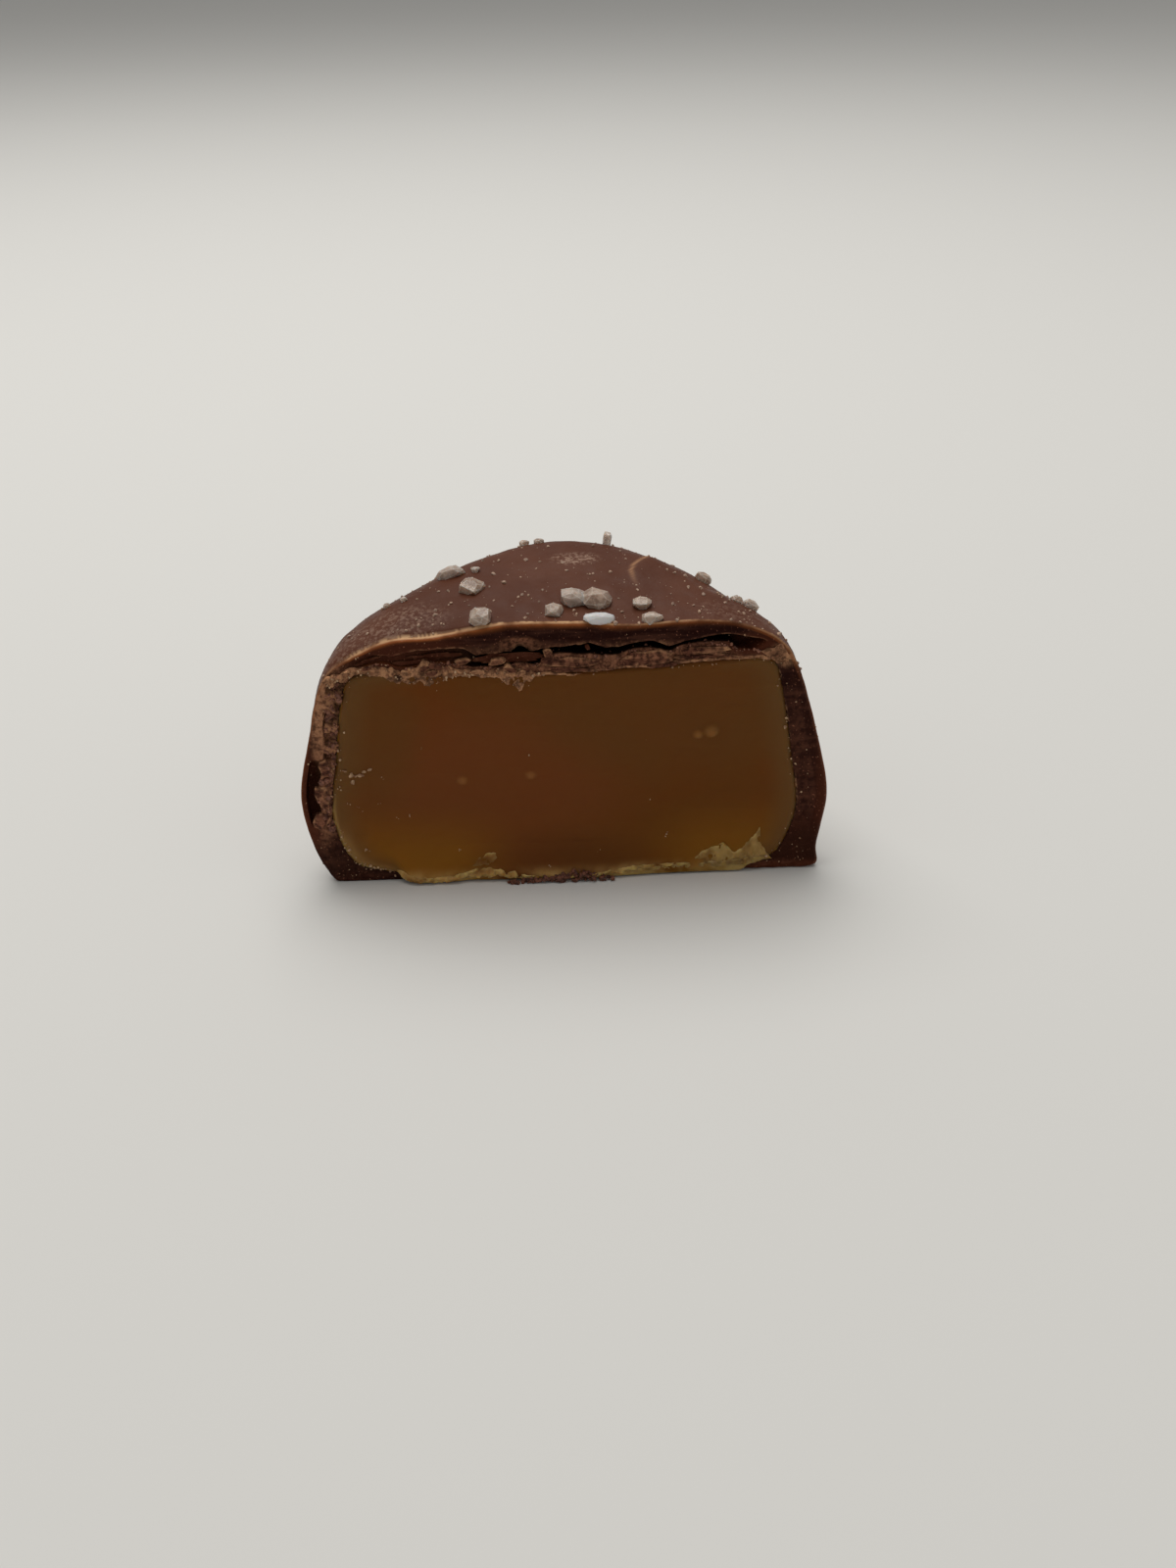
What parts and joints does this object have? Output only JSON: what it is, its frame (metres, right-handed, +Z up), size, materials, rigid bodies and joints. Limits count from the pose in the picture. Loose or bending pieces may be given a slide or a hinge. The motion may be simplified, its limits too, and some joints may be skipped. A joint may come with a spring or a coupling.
{
  "type": "salted caramel candy half",
  "caption": "Half of a chocolate-coated salted caramel, cut from corner to corner, with the soft caramel filling showing at the cut and coarse salt on the coat.",
  "frame": {"origin": "centre of the box's base: on the surface it stands on, half-way across the cut and half-way from the cut to the far corner", "axes": "+Z up, +X to the right along the cut seen from the front, +Y from the cut face back to the candy's far corner"},
  "size_m": [0.0418, 0.0224, 0.0243],
  "materials": {
    "milk_chocolate": "satin milk chocolate, matt and broken where it is cut",
    "soft_caramel": "soft translucent caramel with a knife-drawn sheen",
    "sea_salt": "cloudy salt crystals"
  },
  "bodies": {
    "root": {"chocolate_coat": "milk_chocolate", "caramel_centre": "soft_caramel"}
  },
  "joints": []
}
